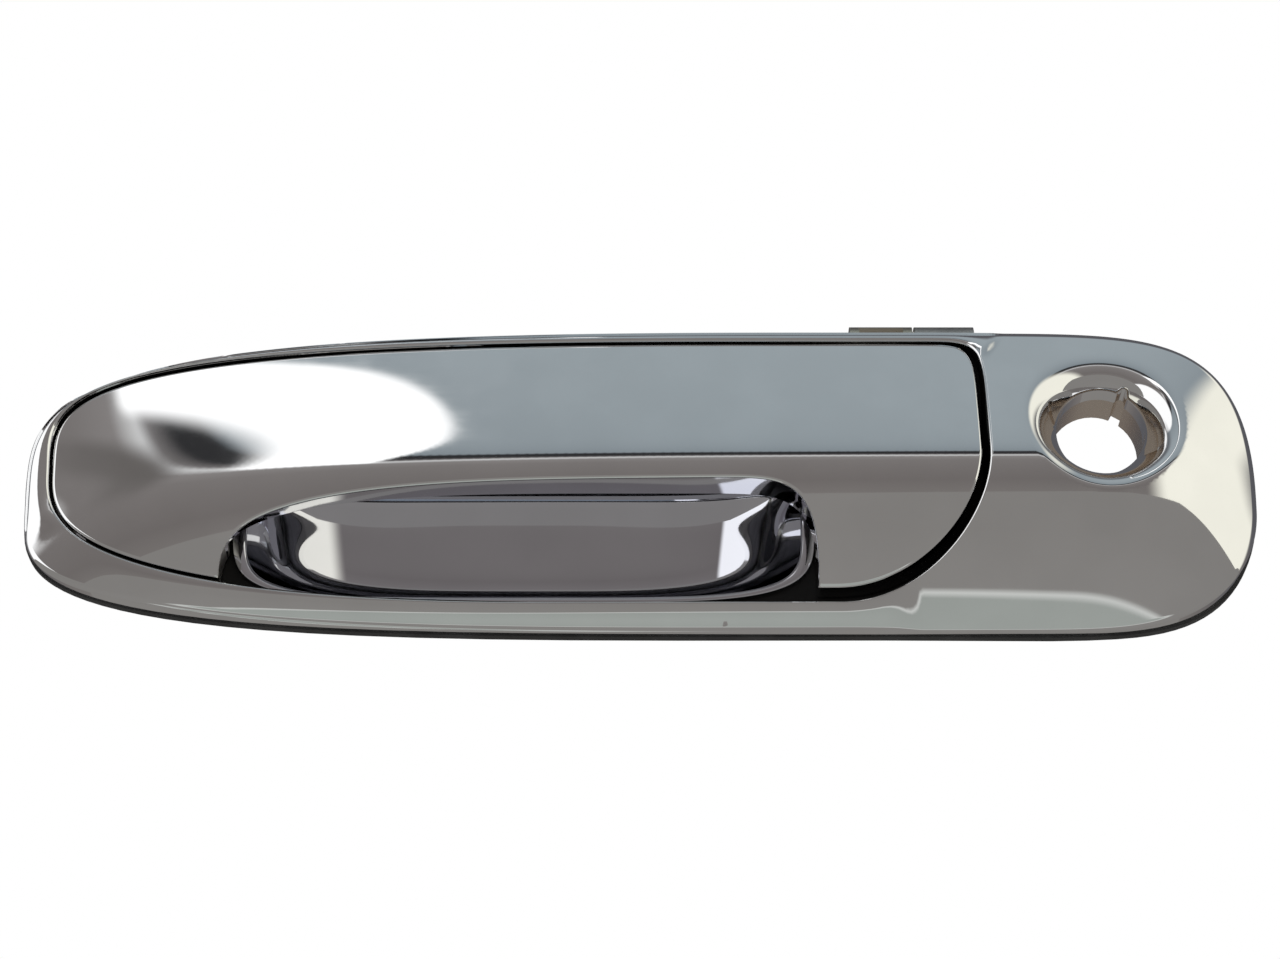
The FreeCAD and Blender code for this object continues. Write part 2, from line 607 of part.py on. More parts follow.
def make_bellcrank():
    left, right = CRANK_X, CRANK_END - CHEEK
    solids = [along_x(HUB, CRANK_BACK, CRANK_Z, x, x + CHEEK) for x in (left, right)]
    solids += [rotated_arm(x, PULL_ARM_LENGTH, -90.0, CROSS_BAR + 1.0, CHEEK) for x in (left, right)]
    solids.append(rotated_arm(right, ROD_ARM_LENGTH, ROD_ARM_ANGLE, CLIP_PIN + 2.2, CHEEK))
    # A curved web joins the cheeks over the top of the hub
    web = along_x(HUB, CRANK_BACK, CRANK_Z, left, CRANK_END)
    web = web.cut(along_x(HUB - 1.6, CRANK_BACK, CRANK_Z, left, CRANK_END))
    solids.append(web.common(box((left, CRANK_END), (CRANK_BACK - 3.5, FAR), (CRANK_Z + 1.5, FAR))))
    solids.append(along_x(CROSS_BAR, CRANK_BACK, BAR_Z, left, CRANK_END))
    crank = fuse(*solids)
    crank = crank.cut(along_x(CRANK_PIN + RUNNING, CRANK_BACK, CRANK_Z, left - 1, CRANK_END + 1))
    return crank.cut(along_x(CLIP_PIN + RUNNING, ROD_Y, ROD_Z, right - 1, CRANK_END + 1))


def make_bellcrank_pin():
    ear_end = CRANK_END + 0.5 + EAR_WIDTH
    pin = along_x(CRANK_PIN, CRANK_BACK, CRANK_Z, CRANK_X - 2.2, ear_end)
    head = along_x(3.6, CRANK_BACK, CRANK_Z, ear_end, ear_end + 1.5)
    groove = along_x(CRANK_PIN + 1, CRANK_BACK, CRANK_Z, CRANK_X - CLIP_THICK - 0.3, CRANK_X - 0.3)
    groove = groove.cut(along_x(CRANK_PIN - GROOVE, CRANK_BACK, CRANK_Z, CRANK_X - 3, CRANK_X))
    return fuse(pin, head).cut(groove)


def make_bellcrank_clip():
    clip = retaining_clip(CRANK_PIN, CLIP_THICK - 0.04)
    clip.rotate(Vector(0, 0, 0), Vector(0, 1, 0), 90)
    clip.translate(Vector(CRANK_X - CLIP_THICK - 0.28, CRANK_BACK, CRANK_Z))
    return clip


def make_bellcrank_washer():
    start = CRANK_END + 0.05
    washer = along_x(HUB - 1.0, CRANK_BACK, CRANK_Z, start, start + WASHER)
    return washer.cut(along_x(CRANK_PIN + 0.1, CRANK_BACK, CRANK_Z, start - 1, start + 1))


def make_bellcrank_spring():
    """A torsion spring round the pin; one leg rests on the ledge, the other on the cross bar."""
    pitch = 2 * SPRING_WIRE + 0.3
    length = pitch * SPRING_TURNS
    helix = Part.makeHelix(pitch, length, SPRING_COIL)
    section = Part.Wire(Part.makeCircle(SPRING_WIRE, Vector(SPRING_COIL, 0, 0), Vector(0, 1, 0)))
    coil = Part.Wire(helix.Edges).makePipeShell([section], True, True)
    coil.rotate(Vector(0, 0, 0), Vector(0, 1, 0), 90)
    start = CRANK_X + CHEEK + 0.8
    coil.translate(Vector(start, CRANK_BACK, CRANK_Z))
    ledge_leg = along_y(SPRING_WIRE, start, CRANK_Z - SPRING_COIL, CRANK_BACK - HUB - 0.4, CRANK_BACK)
    bar_leg = along_z(SPRING_WIRE, start + length, CRANK_BACK - SPRING_COIL, BAR_Z - CROSS_BAR / 2, CRANK_Z)
    return coil.fuse([ledge_leg, bar_leg])


# Rod clip: a moulded clip that swivels in the crank's rear arm and grips the latch rod
def make_rod_clip():
    block_x = CRANK_END + 0.2
    middle = block_x + CLIP_BLOCK / 2
    block = box((block_x, block_x + CLIP_BLOCK), (ROD_Y - CLIP_BLOCK / 2, ROD_Y + CLIP_BLOCK / 2),
                (ROD_Z - CLIP_HEIGHT / 2, ROD_Z + CLIP_HEIGHT / 2))
    block = block.makeFillet(1.0, [edge for edge in block.Edges if edge.BoundBox.ZLength > 5])
    pin = along_x(CLIP_PIN, ROD_Y, ROD_Z, CRANK_END - CHEEK - 1.2, block_x + 0.5)
    snap = Part.makeCone(CLIP_PIN - 0.2, CLIP_PIN + 0.7, 1.0,
                         Vector(CRANK_END - CHEEK - 1.2, ROD_Y, ROD_Z), Vector(1, 0, 0))
    clip = fuse(block, pin, snap)
    return clip.cut(along_z(ROD_BORE, middle, ROD_Y, ROD_Z - CLIP_HEIGHT, ROD_Z + CLIP_HEIGHT))


def build():
    parts["gasket"] = make_gasket()
    parts["bezel"] = make_bezel()
    parts["finger_cup"] = make_finger_cup()
    parts["cup_push_nuts"] = make_cup_push_nuts()
    parts["stud_front"] = make_stud(*STUDS[0])
    parts["stud_rear"] = make_stud(*STUDS[1])
    parts["hinge_pin"] = make_hinge_pin()
    parts["hinge_pin_clip"] = make_hinge_pin_clip()
    parts["hinge_bush_lower"] = make_hinge_bush(FOOT + HINGE_LOW, 1)
    parts["hinge_bush_upper"] = make_hinge_bush(FOOT + HINGE_HIGH, -1)
    parts["grip_shell"] = make_grip_shell()
    parts["grip_backer"] = make_grip_backer()
    parts["grip_screws"] = make_grip_screws()
    parts["grip_bumpers"] = make_grip_bumpers()
    parts["pull_arm"] = make_pull_arm()
    parts["pull_arm_screws"] = make_pull_arm_screws()
    parts["bellcrank"] = make_bellcrank()
    parts["bellcrank_pin"] = make_bellcrank_pin()
    parts["bellcrank_clip"] = make_bellcrank_clip()
    parts["bellcrank_washer"] = make_bellcrank_washer()
    parts["bellcrank_spring"] = make_bellcrank_spring()
    parts["rod_clip"] = make_rod_clip()
    os.makedirs("parts", exist_ok=True)
    for name, shape in parts.items():
        shape.exportStep("parts/" + name + ".step")
        sizes = shape.BoundBox
        print("%-18s solids %d valid %s volume %.0f  x %.1f..%.1f y %.1f..%.1f z %.1f..%.1f" % (
            name, len(shape.Solids), shape.isValid(), shape.Volume, sizes.XMin, sizes.XMax,
            sizes.YMin, sizes.YMax, sizes.ZMin, sizes.ZMax))


build()
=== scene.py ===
# Car door handle: a chromed pull grip hinged in a die-cast bezel, with its finger cup, gasket,
# studs and bellcrank. Places are worked out in millimetres from the frame and built in metres.
import math
import bpy
import numpy as np
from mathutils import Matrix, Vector
from mathutils.geometry import delaunay_2d_cdt


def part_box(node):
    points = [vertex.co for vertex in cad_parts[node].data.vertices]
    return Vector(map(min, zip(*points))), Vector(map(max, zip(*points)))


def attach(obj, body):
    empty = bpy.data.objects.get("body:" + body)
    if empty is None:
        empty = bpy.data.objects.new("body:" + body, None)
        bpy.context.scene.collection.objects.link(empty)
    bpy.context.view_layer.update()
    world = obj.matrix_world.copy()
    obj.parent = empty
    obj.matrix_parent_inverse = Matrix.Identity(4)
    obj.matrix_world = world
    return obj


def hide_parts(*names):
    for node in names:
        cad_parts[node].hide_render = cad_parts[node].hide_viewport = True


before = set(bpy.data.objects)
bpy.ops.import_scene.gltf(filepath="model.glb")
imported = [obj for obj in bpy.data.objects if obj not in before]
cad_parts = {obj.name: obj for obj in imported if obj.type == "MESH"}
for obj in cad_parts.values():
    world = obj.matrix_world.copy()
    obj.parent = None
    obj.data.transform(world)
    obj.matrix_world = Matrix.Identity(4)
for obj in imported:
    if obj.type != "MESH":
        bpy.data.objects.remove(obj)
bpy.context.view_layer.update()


# ---------------------------------------------------------------- The studio
# The handle is shown as it hangs on a door, seen from the front and 20 degrees below.
# One wide softbox lights it from above and one from behind, with a weaker one on each side.
scene = bpy.context.scene
scene.view_settings.view_transform = "Standard"
MM = 0.001
aim = Vector((5.0, -8.0, 14.0)) * MM
camera_low, camera_away, camera_lens = math.radians(20.0), 0.85, 114.6
camera_data = bpy.data.cameras.new("camera")
camera_data.lens = camera_lens
camera = bpy.data.objects.new("camera", camera_data)
scene.collection.objects.link(camera)
camera_back = Vector((0.0, -math.cos(camera_low), -math.sin(camera_low)))
camera.location = aim + camera_back * camera_away
camera.rotation_euler = (-camera_back).to_track_quat("-Z", "Y").to_euler()
camera_data.clip_start, camera_data.clip_end = 0.01, 50.0
scene.camera = camera


class Wire:
    """A socket that can be used in sums; each sum adds its node."""

    def __init__(self, tree, socket):
        self.tree, self.socket = tree, socket

    def node(self, kind, settings=(), out=0, stops=None, **values):
        """Adds any node: its settings first, then the values or wires of its sockets."""
        made = self.tree.nodes.new(kind)
        for key, value in dict(settings).items():
            setattr(made, key, value)
        if stops:
            ramp = made.color_ramp
            while len(ramp.elements) < len(stops):
                ramp.elements.new(1.0)
            for element, (place, colour) in zip(ramp.elements, stops):
                element.position, element.color = place, (*colour, 1.0)
        for key, value in values.items():
            name = key.replace("_", " ")
            socket = made.inputs[int(key[1:])] if key[0] == "i" and key[1:].isdigit() else made.inputs[name]
            if isinstance(value, Wire):
                self.tree.links.new(value.socket, socket)
            else:
                socket.default_value = value
        return Wire(self.tree, made.outputs[out])

    def maths(self, operation, *values):
        return self.node("ShaderNodeMath", {"operation": operation},
                         **{"i%d" % index: value for index, value in enumerate(values)})

    def __add__(self, other): return self.maths("ADD", self, other)
    def __radd__(self, other): return self.maths("ADD", other, self)
    def __sub__(self, other): return self.maths("SUBTRACT", self, other)
    def __rsub__(self, other): return self.maths("SUBTRACT", other, self)
    def __mul__(self, other): return self.maths("MULTIPLY", self, other)
    def __rmul__(self, other): return self.maths("MULTIPLY", other, self)

    def step(self, start, end):
        """A smooth step of this value, 0 at start and 1 at end."""
        return self.node("ShaderNodeMapRange", {"interpolation_type": "SMOOTHSTEP"}, Value=self,
                         From_Min=start, From_Max=end)

    def mix(self, first, second):
        """Blends two colours, with this value as the share of the second."""
        made = self.tree.nodes.new("ShaderNodeMix")
        made.data_type = "RGBA"
        for socket, value in ((made.inputs[0], self), (made.inputs[6], first), (made.inputs[7], second)):
            if isinstance(value, Wire):
                self.tree.links.new(value.socket, socket)
            else:
                socket.default_value = (*value, 1.0) if isinstance(value, tuple) else value
        return Wire(self.tree, made.outputs[2])

    def part(self, axis):
        """One component of this vector."""
        return self.node("ShaderNodeSeparateXYZ", out="XYZ".index(axis), Vector=self)


def start_world():
    """The room as polished metal sees it; the camera itself sees white."""
    world = bpy.data.worlds.new("studio")
    scene.world = world
    world.use_nodes = True
    tree = world.node_tree
    tree.nodes.clear()
    root = Wire(tree, None)
    way = root.node("ShaderNodeTexCoord", out=0)
    across, deep, up = way.part("X"), way.part("Y"), way.part("Z")
    room = up.node("ShaderNodeValToRGB", Fac=up * 0.5 + 0.5, stops=[
        (0.0, (0.36, 0.38, 0.36)), (0.036, (0.33, 0.35, 0.33)), (0.046, (0.62, 0.63, 0.61)),
        (0.056, (0.20, 0.19, 0.18)), (0.30, (0.22, 0.205, 0.195)), (0.50, (0.165, 0.15, 0.145)),
        (0.72, (0.20, 0.185, 0.18)), (0.775, (0.24, 0.225, 0.22)), (0.80, (0.62, 0.62, 0.62)),
        (0.812, (0.17, 0.16, 0.16)), (0.83, (0.03, 0.03, 0.032)), (0.855, (0.03, 0.03, 0.032)),
        (0.87, (0.235, 0.27, 0.295)), (1.0, (0.33, 0.375, 0.40))])
    # Panels that stand round the handle: each has its turn to the left, as a tangent, and its height
    turn = across.maths("DIVIDE", across, deep.maths("MINIMUM", deep, -0.05))
    softbox = turn.step(0.275, 0.292) * turn.step(0.53, 0.45) * up.step(0.56, 0.60)
    nose_card = turn.step(0.58, 0.67) * turn.step(0.82, 0.72) * up.step(0.22, 0.60)
    room = nose_card.mix(room, (0.13, 0.12, 0.115))
    room = softbox.mix(room, (1.25, 1.25, 1.25))
    side = across.step(0.42, 0.62) * (1.0 - deep.step(0.2, 0.5))
    room = side.mix(room, (0.95, 0.93, 0.82))
    left = (0.0 - across).step(0.60, 0.66) * (1.0 - deep.step(0.2, 0.5))
    room = left.mix(room, (1.1, 1.1, 1.1))
    behind = deep.step(0.05, 0.35) * up.step(-0.2, 0.3)
    room = behind.mix(room, (0.10, 0.10, 0.11))
    to_camera = root.node("ShaderNodeLightPath", out="Is Camera Ray")
    gloss = root.node("ShaderNodeLightPath", out="Is Glossy Ray")
    seen = to_camera.mix(gloss.mix((0.62, 0.63, 0.65), room), (1.0, 1.0, 1.0))
    background = root.node("ShaderNodeBackground", Color=seen, Strength=1.0)
    output = tree.nodes.new("ShaderNodeOutputWorld")
    tree.links.new(background.socket, output.inputs[0])


def add_softbox(name, place, size, power):
    """An area lamp that points at the handle and isn't seen in the chrome."""
    data = bpy.data.lights.new(name, "AREA")
    data.shape, data.size, data.size_y, data.energy = "RECTANGLE", *size, power
    lamp = bpy.data.objects.new(name, data)
    lamp.location = place
    lamp.rotation_euler = (Vector(place) * -1).to_track_quat("-Z", "Y").to_euler()
    lamp.visible_glossy = False
    scene.collection.objects.link(lamp)


start_world()
add_softbox("softbox_above", (-0.25, -0.7, 0.9), (0.9, 0.5), 9.0)
add_softbox("softbox_left", (-0.9, -0.6, 0.1), (0.5, 0.7), 4.0)
add_softbox("softbox_right", (0.9, -0.5, -0.1), (0.5, 0.7), 4.0)
add_softbox("softbox_behind", (0.2, 0.9, 0.5), (0.9, 0.7), 7.0)

# The floor lies well below, because the handle hangs at the height of a door
floor_drop, floor_half = -0.75, 4.0
floor_mesh = bpy.data.meshes.new("floor")
floor_mesh.from_pydata([(x, y, 0.0) for x, y in ((-floor_half, -floor_half), (floor_half, -floor_half),
                                                (floor_half, floor_half), (-floor_half, floor_half))],
                       [], [(0, 1, 2, 3)])
floor = bpy.data.objects.new("floor", floor_mesh)
floor.location.z = floor_drop
scene.collection.objects.link(floor)


def start_material(name, metallic=0.0, **constants):
    """A material with its principled shader; returns it with a wire to build on."""
    material = bpy.data.materials.new(name)
    material.use_nodes = True
    tree = material.node_tree
    shader = tree.nodes["Principled BSDF"]
    shader.inputs["Metallic"].default_value = metallic
    for key, value in constants.items():
        shader.inputs[key.replace("_", " ")].default_value = value
    place = Wire(tree, None).node("ShaderNodeTexCoord", out=3)
    return material, place


def finish_material(material, place, colour, roughness, height=None, bump=0.1, reach=0.0002):
    """Wires the varying colour, roughness and relief into the shader."""
    tree = material.node_tree
    shader = tree.nodes["Principled BSDF"]
    tree.links.new(colour.socket, shader.inputs["Base Color"])
    tree.links.new(roughness.socket, shader.inputs["Roughness"])
    if height is not None:
        relief = place.node("ShaderNodeBump", Height=height, Strength=bump, Distance=reach)
        tree.links.new(relief.socket, shader.inputs["Normal"])
    return material


def speckle(place, scale, detail=3.0, roughness=0.5, stretch=None):
    """Noise over the surface, stretched along an axis where a stretch is given."""
    where = place
    if stretch:
        where = place.node("ShaderNodeVectorMath", {"operation": "MULTIPLY"}, i0=place, i1=stretch)
    return where.node("ShaderNodeTexNoise", Vector=where, Scale=scale, Detail=detail, Roughness=roughness)


def floor_finish():
    """Pale paper, which polished metal sees as a darker floor with a light ring below the handle."""
    material, place = start_material("floor_paper", Roughness=0.9)
    tone = speckle(place, 6.0).step(0.3, 0.7).mix((0.80, 0.80, 0.80), (0.82, 0.82, 0.82))
    finish_material(material, place, tone, speckle(place, 40.0) * 0.1 + 0.85)
    tree = material.node_tree
    shader = tree.nodes["Principled BSDF"]
    gloss = place.node("ShaderNodeLightPath", out="Is Glossy Ray")
    away_from = place.node("ShaderNodeVectorMath", {"operation": "LENGTH"}, out=1, i0=place)
    shade = away_from.node("ShaderNodeValToRGB", Fac=away_from, stops=[
        (0.0, (0.36, 0.38, 0.36)), (0.27, (0.33, 0.35, 0.33)), (0.30, (0.60, 0.61, 0.59)),
        (0.33, (0.24, 0.23, 0.22)), (1.0, (0.23, 0.22, 0.21))])
    glow = place.node("ShaderNodeEmission", Color=shade, Strength=1.0)
    mixer = tree.nodes.new("ShaderNodeMixShader")
    for link, socket in ((gloss.socket, 0), (shader.outputs[0], 1), (glow.socket, 2)):
        tree.links.new(link, mixer.inputs[socket])
    tree.links.new(mixer.outputs[0], tree.nodes["Material Output"].inputs[0])
    return material


floor_mesh.materials.append(floor_finish())


# ---------------------------------------------------------------- Bezel, plated front
# The bezel is one zinc die casting. Its front is polished and carries bright chrome plate,
# which follows the sculpted skin, rolls over every edge and dips into the dish round the lock.
bezel_low, bezel_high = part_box("bezel")
NOSE, TAIL, FOOT = bezel_low.x / MM, bezel_high.x / MM, bezel_low.z / MM
HEIGHT, LOBE = 65.6, 56.0           # bezel's height, and the lock lobe's length
CROWN, BAY_TAIL = FOOT + HEIGHT, TAIL - LOBE
BACK, FLOOR = -2.5, -5.0            # rear of the bezel and front of its floor, along Y
NOSE_BAND, SILL_BAND, TOP_BAND = 4.6, 4.9, 2.4   # the bezel's rim round the bay
BAY_WAIST = FOOT + 34.0             # where the bay is longest
NOSE_HEIGHT, SWELL, SWELL_REACH = 5.0, 19.0, 55.0   # the skin at the nose, its rise, and how soon it rises
CROWN_HEIGHT, FOOT_HEIGHT, CREASE = 5.5, 4.0, 3.0   # the skin at its edges, and the ridge's softness
TAIL_REACH, TAIL_RUN = 40.0, 43.0   # where the skin starts to fall towards the tail, and over what length
LOCK_X, LOCK_Z = TAIL - 31.5, FOOT + 42.5
LOCK_BORE, DISH_RADIUS, LOCK_LIP = 9.4, 17.2, 8.0
DISH_TALL, DISH_SHIFT = 1.6, 0.8    # the dish's extra reach above and below; added above, taken off below
KEYWAY_DEPTH, KEYWAY_SLOPE, KEYWAY_SPREAD = 1.2, 0.8, 1.6


def outline(nose, tail, foot, crown, waist, quarters, pitch):
    """A closed super-elliptic outline in the XZ plane, anticlockwise, with points a pitch apart."""
    steps = 300
    points = []
    for index, (reach, power_x, power_z) in enumerate(quarters):
        toward = 1 if index in (0, 3) else -1
        upward = 1 if index in (0, 1) else -1
        centre = tail - reach if toward > 0 else nose + reach
        rise = crown - waist if upward > 0 else waist - foot
        turn = np.linspace(0.0, math.pi / 2, steps, endpoint=False)
        turn = math.pi / 2 - turn if index in (1, 3) else turn
        across = reach * np.abs(np.cos(turn)) ** (2 / power_x)
        up = rise * np.abs(np.sin(turn)) ** (2 / power_z)
        points.append(np.stack([centre + toward * across, waist + upward * up], 1))
    return even(np.concatenate(points), pitch)


def even(points, pitch):
    """The same closed outline with points evenly spaced along it."""
    closed = np.vstack([points, points[:1]])
    along = np.concatenate([[0.0], np.cumsum(np.hypot(*np.diff(closed, axis=0).T))])
    where = np.linspace(0.0, along[-1], int(along[-1] / pitch), endpoint=False)
    return np.stack([np.interp(where, along, closed[:, axis]) for axis in (0, 1)], 1)


def bezel_outline(inset, pitch):
    """The bezel's outer edge, inset."""
    quarters = [(68.7, 5.0, 2.6), (163.5, 2.55, 4.2), (185.0, 4.3, 3.1), (56.5, 5.0, 1.85)]
    return outline(NOSE + inset, TAIL - inset, FOOT + inset, CROWN - inset, FOOT + 25.0,
                   [(reach - inset, p, q) for reach, p, q in quarters], pitch)


def bay_outline(inset, tail_inset, pitch, foot_inset=0.0):
    """The bezel's opening for the grip, inset, and further at its tail or its foot."""
    quarters = [(20.0, 8.0, 8.0), (150.0, 2.5, 3.9), (125.0, 3.2, 2.6), (30.5, 2.0, 2.0)]
    quarters = [(reach - inset, power_x, power_z) for reach, power_x, power_z in quarters]
    nose, tail = NOSE + NOSE_BAND + inset, BAY_TAIL - inset - tail_inset
    foot, crown = FOOT + SILL_BAND + inset + foot_inset, CROWN - TOP_BAND - inset
    return outline(nose, tail, foot, crown, BAY_WAIST, quarters, pitch)


def ridge_z(x):
    """Height of the crease that runs along the handle."""
    return FOOT + 32.4 - 5.5 * np.exp(-(x - NOSE - 15.0) / 28.0)


def skin_height(x, z):
    """Height of the front skin in front of the door, as in the design."""
    swell = NOSE_HEIGHT + SWELL * (1 - np.exp(-(x - NOSE) / SWELL_REACH))
    past = np.maximum(0.0, (x - TAIL + TAIL_REACH) / TAIL_RUN)
    top = FOOT_HEIGHT + (swell - FOOT_HEIGHT) * (1 - past ** 3)
    rise = z - ridge_z(x)
    above = (rise + np.hypot(rise, CREASE)) / 2
    below = (np.hypot(rise, CREASE) - rise) / 2
    up, down = above / (CROWN - ridge_z(x)), below / (ridge_z(x) - FOOT)
    fall_up = (top - CROWN_HEIGHT) * (0.85 * up + 0.15 * up ** 2)
    fall_down = (top - FOOT_HEIGHT) * (0.1 * down + 0.9 * down ** 2.2)
    height = top - fall_up - fall_down
    reach = np.hypot(x - LOCK_X, z - LOCK_Z)
    tilt = (z - LOCK_Z) / np.maximum(reach, 0.001)
    rim = DISH_RADIUS + tilt ** 2 * (DISH_TALL + DISH_SHIFT * tilt)
    run = np.clip((reach - LOCK_BORE) / (rim - LOCK_BORE), -0.3, 1.0)
    return LOCK_LIP + (height - LOCK_LIP) * (1 - (1 - run) ** 2)


def facing(height, points):
    """The skin's normals at the given points."""
    x, z = points.T
    small = 0.02
    slope_x = (height(x + small, z) - height(x - small, z)) / (2 * small)
    slope_z = (height(x, z + small) - height(x, z - small)) / (2 * small)
    normal = np.stack([-slope_x, -np.ones_like(x), -slope_z], 1)
    return normal / np.linalg.norm(normal, axis=1, keepdims=True)


def inside(points, loop):
    """Which points lie within a closed loop."""
    hit = np.zeros(len(points), bool)
    for (x1, z1), (x2, z2) in zip(loop, np.roll(loop, -1, 0)):
        if z1 == z2:
            continue
        crosses = (z1 > points[:, 1]) != (z2 > points[:, 1])
        hit ^= crosses & (points[:, 0] < x1 + (points[:, 1] - z1) * (x2 - x1) / (z2 - z1))
    return hit


def inward(loop):
    """Vectors across an anticlockwise loop, pointing inside it, mitred at its corners."""
    along = np.roll(loop, -1, 0) - loop
    along /= np.linalg.norm(along, axis=1, keepdims=True)
    after = np.stack([-along[:, 1], along[:, 0]], 1)
    before = np.roll(after, 1, 0)
    return (before + after) / (1 + (before * after).sum(1, keepdims=True))


def new_piece(name, vertices, faces, normals=None):
    """A smooth mesh object from points in millimetres, with its true normals where they are known."""
    mesh = bpy.data.meshes.new(name)
    places = [tuple(v) for v in np.asarray(vertices) * MM]
    mesh.from_pydata(places, [], [tuple(int(i) for i in face) for face in faces])
    mesh.validate()
    mesh.shade_smooth()
    if normals is not None:
        mesh.normals_split_custom_set_from_vertices([tuple(n) for n in normals])
    piece = bpy.data.objects.new(name, mesh)
    scene.collection.objects.link(piece)
    return piece


PLATE_LIFT, PLATE_SIDE, PLATE_THICK = 0.35, 0.08, 0.06   # plating over the face, on the walls, and its own
OUTER_PROUD, OUTER_ROLL = 0.36, 1.2                      # plating round the bezel's outer edge
GAP_ROLL, MOUTH_ROLL = 0.65, 0.5                         # rolled edges at the grip's gap and the lock's mouth
SLEEVE_PLATED = -3.0                                     # where the plating ends in the lock's mouth, along Y


def plated_skin(name, height, edges, grid):
    """Plating over a region of the XZ plane, rolled over at each edge into a wall that runs back.

    Each edge is a loop, the side of it that the skin lies on, its distance outside the casting,
    its roll's radius, and how far back its wall ends, as a function of the points. The first edge
    is the outer one.
    """
    vertices, normals, faces, rims = [], [], [], []
    for loop, skin_side, proud, roll, wall_back in edges:
        across = inward(loop) * skin_side
        loop = loop - across * proud
        count, first = len(loop), sum(len(v) for v in vertices)
        side = np.stack([-across[:, 0], np.zeros(count), -across[:, 1]], 1)
        side /= np.linalg.norm(side, axis=1, keepdims=True)
        brink, back = roll - height(*(loop + across * roll).T), wall_back(*loop.T)
        rows = [(np.stack([loop[:, 0], back + (brink - back) * share, loop[:, 1]], 1), side)
                for share in (0.0, 0.35, 0.7)]
        for turn in np.linspace(0.0, math.pi / 2, 9):
            points = loop + across * roll * (1 - math.cos(turn))
            level = height(*points.T)
            if turn < 1.5:
                level = np.minimum(level, -brink + roll * math.sin(turn))
            normal = facing(height, points) * math.sin(turn) + side * math.cos(turn)
            rows.append((np.stack([points[:, 0], -level, points[:, 1]], 1),
                         normal / np.linalg.norm(normal, axis=1, keepdims=True)))
        for row, (points, normal) in enumerate(rows):
            vertices.append(points)
            normals.append(normal)
            for i in range(count if row else 0):
                a, b = first + (row - 1) * count + i, first + (row - 1) * count + (i + 1) % count
                faces.append((a, b, b + count, a + count)[::skin_side])
        rims.append((first, first + (len(rows) - 1) * count, points[:, ::2], skin_side))
    vertices, normals = np.concatenate(vertices), np.concatenate(normals)
    # The face between the rolled edges, on a grid
    low, high = rims[0][2].min(0), rims[0][2].max(0)
    xs, zs = np.meshgrid(np.arange(low[0], high[0], grid[0]), np.arange(low[1], high[1], grid[1]))
    xs[1::2] += grid[0] / 2
    field = np.stack([xs.ravel(), zs.ravel()], 1)
    keep = np.ones(len(field), bool)
    for _, _, rim, skin_side in rims:
        keep &= inside(field, rim) == (skin_side > 0)
        for start in range(0, len(rim), 100):
            gap = field[:, None, :] - rim[None, start:start + 100, :]
            keep &= ~(np.hypot(gap[..., 0], gap[..., 1]) < 0.45 * min(grid)).any(1)
    field = field[keep]
    corners, links, indices = [], [], []
    for _, last, rim, _ in rims:
        base = len(corners)
        corners += [Vector(p) for p in rim]
        indices += range(last, last + len(rim))
        links += [(base + i, base + (i + 1) % len(rim)) for i in range(len(rim))]
    indices += range(len(vertices), len(vertices) + len(field))
    corners += [Vector(p) for p in field]
    points, _, triangles, sources, _, _ = delaunay_2d_cdt(corners, links, [], 0, 1e-6)
    crossings = [i for i, source in enumerate(sources) if not source]
    place = {i: indices[source[0]] for i, source in enumerate(sources) if source}
    place.update({i: len(vertices) + len(field) + k for k, i in enumerate(crossings)})
    field = np.concatenate([field, np.array([points[i] for i in crossings]).reshape(-1, 2)])
    middles = np.array([[sum(points[i][axis] for i in t) / 3 for axis in (0, 1)] for t in triangles])
    keep = np.ones(len(middles), bool)
    for _, _, rim, skin_side in rims:
        keep &= inside(middles, rim) == (skin_side > 0)
    vertices = np.concatenate([vertices, np.stack([field[:, 0], -height(*field.T), field[:, 1]], 1)])
    normals = np.concatenate([normals, facing(height, field)])
    faces += [tuple(place[i] for i in triangle) for kept, triangle in zip(keep, triangles) if kept]
    # The plating's own thickness, closed at the walls' back edges
    total = len(vertices)
    faces += [tuple(i + total for i in face[::-1]) for face in faces]
    for first, _, rim, skin_side in rims:
        count = len(rim)
        for i in range(count):
            a, b = first + i, first + (i + 1) % count
            faces.append((b, a, a + total, b + total)[::skin_side])
    vertices = np.concatenate([vertices, vertices - normals * PLATE_THICK])
    return new_piece(name, vertices, faces, np.concatenate([normals, -normals]))


def plate_height(x, z):
    """The plated face stands a little in front of the casting."""
    return skin_height(x, z) + PLATE_LIFT


def lock_mouth(pitch):
    """The lock bore's outline, with the keyway at one o'clock."""
    turn = np.arange(0.0, 2 * math.pi, pitch / LOCK_BORE)
    keyway = np.clip(KEYWAY_SPREAD - np.abs((turn - math.pi / 3) * LOCK_BORE) / KEYWAY_SLOPE, 0.0, 1.0)
    radius = LOCK_BORE + KEYWAY_DEPTH * keyway
    return np.stack([LOCK_X + radius * np.cos(turn), LOCK_Z + radius * np.sin(turn)], 1)


def away(points, loop):
    """Distance of each point from a closed loop."""
    along = np.roll(loop, -1, 0) - loop
    nearest = np.full(len(points), np.inf)
    for start in range(0, len(loop), 50):
        base, run = loop[start:start + 50], along[start:start + 50]
        off = points[:, None, :] - base
        share = np.clip((off * run).sum(2) / (run * run).sum(1), 0.0, 1.0)
        nearest = np.minimum(nearest, np.hypot(*np.moveaxis(off - share[..., None] * run, 2, 0)).min(1))
    return nearest


BAND_CROWN = 0.9                    # how far the narrow band round the bay swells between its edges
OUTER_EDGE, INNER_EDGE = bezel_outline(0.0, 1.0), bay_outline(0.0, 0.0, 1.0)


